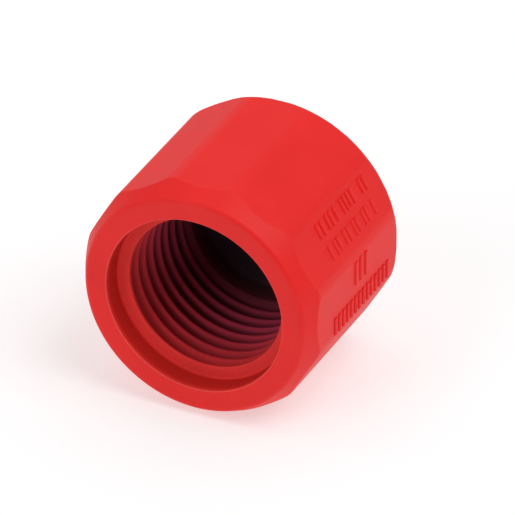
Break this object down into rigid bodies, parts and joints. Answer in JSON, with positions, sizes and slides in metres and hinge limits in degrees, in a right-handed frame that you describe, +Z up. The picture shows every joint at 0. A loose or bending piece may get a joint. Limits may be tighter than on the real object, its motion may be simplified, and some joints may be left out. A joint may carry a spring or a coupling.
{
  "type": "threaded protection cap",
  "caption": "Blind moulded plastic cap with grip flats outside and an internal pipe thread behind a counterbored mouth.",
  "frame": {"origin": "on the surface that the cap lies on, under the middle of its length", "axes": "the cap's own axis runs along Y, with the mouth facing -Y and the closed end +Y; +Z is up, away from the flat that it lies on"},
  "size_m": [0.0284, 0.023, 0.0283],
  "materials": {
    "cap_plastic": "satin red polyethylene, as moulded"
  },
  "bodies": {
    "root": {"cap": "cap_plastic"}
  },
  "joints": []
}
